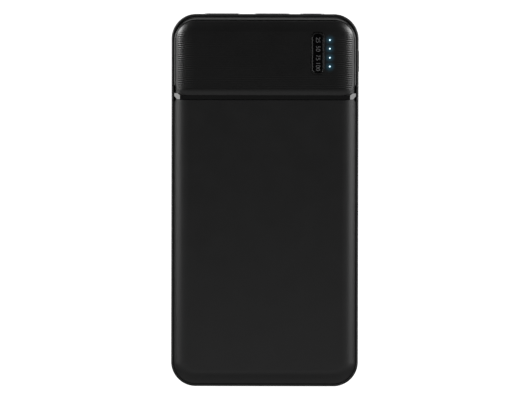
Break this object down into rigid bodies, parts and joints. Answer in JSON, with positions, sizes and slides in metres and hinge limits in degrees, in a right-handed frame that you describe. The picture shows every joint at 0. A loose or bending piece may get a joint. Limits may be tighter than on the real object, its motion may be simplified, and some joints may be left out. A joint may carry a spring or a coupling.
{
  "type": "power bank",
  "caption": "Slim pocket power bank with a two-part black case, ribbed upper panel, pill window, charge lights, side button and end sockets.",
  "frame": {"origin": "under the middle of the case, on the surface that the back rests on", "axes": "+X to the side with the power button, +Y to the end with the ports, +Z out of the front face"},
  "size_m": [0.0712, 0.1416, 0.016],
  "materials": {
    "case_plastic": "fine moulded grain, satin black",
    "panel_plastic": "finely ribbed, satin black",
    "gloss_strip": "polished black",
    "window_gloss": "polished black with a pale printed scale",
    "light_guide": "clear, lit blue-white",
    "port_steel": "bright plated sheet",
    "port_tongue": "moulded black",
    "contact_gold": "gold plated",
    "board_laminate": "green solder mask",
    "chip_plastic": "moulded black",
    "ceramic": "fired ceramic",
    "switch_rubber": "moulded black",
    "screw_steel": "zinc plated",
    "cell_foil": "laminated pouch foil",
    "tab_nickel": "nickel strip",
    "foam": "closed-cell foam",
    "adhesive": "soft transfer adhesive",
    "amber_film": "thin insulating film",
    "red_sleeve": "silicone insulation",
    "black_sleeve": "silicone insulation"
  },
  "bodies": {
    "casing": {"accent_strip": "gloss_strip", "back_shell": "case_plastic", "black_lead": "black_sleeve", "board_screw_1": "screw_steel", "board_screw_2": "screw_steel", "capacitor_1": "ceramic", "capacitor_2": "ceramic", "capacity_window": "window_gloss", "cell_adhesive_pad": "adhesive", "charge_chip": "chip_plastic", "control_panel": "panel_plastic", "foam_pad": "foam", "front_cover": "case_plastic", "insulation_sheet": "amber_film", "light_guide": "light_guide", "lower_cell": "cell_foil", "lower_cell_tab_negative": "tab_nickel", "lower_cell_tab_positive": "tab_nickel", "main_board": "board_laminate", "mosfet_1": "chip_plastic", "mosfet_2": "chip_plastic", "power_inductor": "chip_plastic", "red_lead": "red_sleeve", "status_led_1": "ceramic", "status_led_2": "ceramic", "status_led_3": "ceramic", "status_led_4": "ceramic", "tact_switch_body": "chip_plastic", "thermistor": "chip_plastic", "upper_cell": "cell_foil", "upper_cell_tab_negative": "tab_nickel", "upper_cell_tab_positive": "tab_nickel", "usb_a_contact_1_1": "contact_gold", "usb_a_contact_1_2": "contact_gold", "usb_a_contact_1_3": "contact_gold", "usb_a_contact_1_4": "contact_gold", "usb_a_contact_2_1": "contact_gold", "usb_a_contact_2_2": "contact_gold", "usb_a_contact_2_3": "contact_gold", "usb_a_contact_2_4": "contact_gold", "usb_a_shell_1": "port_steel", "usb_a_shell_2": "port_steel", "usb_a_tongue_1": "port_tongue", "usb_a_tongue_2": "port_tongue", "usb_c_shell": "port_steel", "usb_c_tongue": "port_tongue", "window_bezel": "panel_plastic"},
    "button": {"power_button": "case_plastic"},
    "plunger": {"tact_switch_plunger": "switch_rubber"}
  },
  "joints": [
    {"name": "button_press", "type": "slide", "parent": "casing", "child": "button", "axis": [-1, 0, 0], "range_m": [0, 0.00025], "stiffness_N_per_m": 3000},
    {"name": "plunger_press", "type": "slide", "parent": "casing", "child": "plunger", "axis": [-1, 0, 0], "range_m": [0, 0.00025]}
  ],
  "couplings": [
    {"joint": "plunger_press", "follows": "button_press", "ratio": 1}
  ]
}
